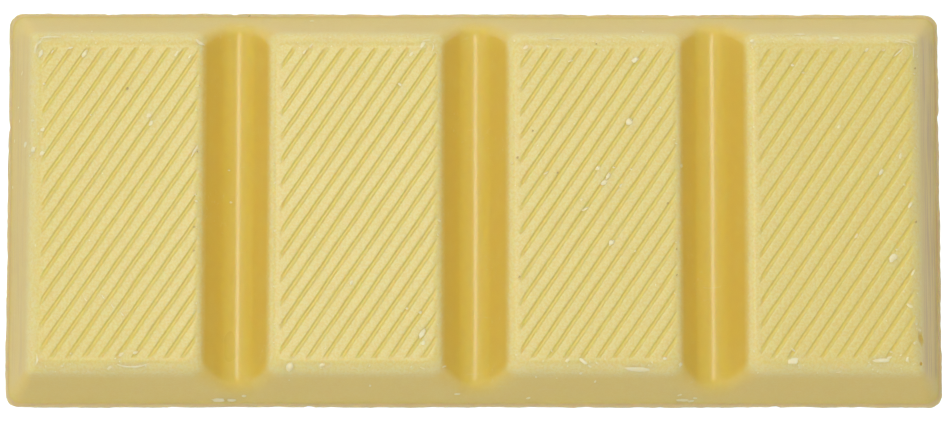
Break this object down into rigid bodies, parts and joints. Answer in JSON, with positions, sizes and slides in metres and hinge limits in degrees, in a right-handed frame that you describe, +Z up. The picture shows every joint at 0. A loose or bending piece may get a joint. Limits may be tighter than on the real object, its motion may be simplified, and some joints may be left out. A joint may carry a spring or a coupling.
{
  "type": "white chocolate bar",
  "caption": "Moulded bar of white chocolate: blocks in a row parted by deep cross grooves, faces engraved with fine diagonal lines.",
  "frame": {"origin": "middle of the flat underside, on the surface that the bar lies on", "axes": "+X along the bar's length, +Y across it, +Z up out of the moulded face"},
  "size_m": [0.1, 0.0424, 0.009],
  "materials": {
    "white_chocolate": "satin pale yellow, glossy in the grooves and on the walls"
  },
  "bodies": {
    "root": {"chocolate_bar": "white_chocolate"}
  },
  "joints": []
}
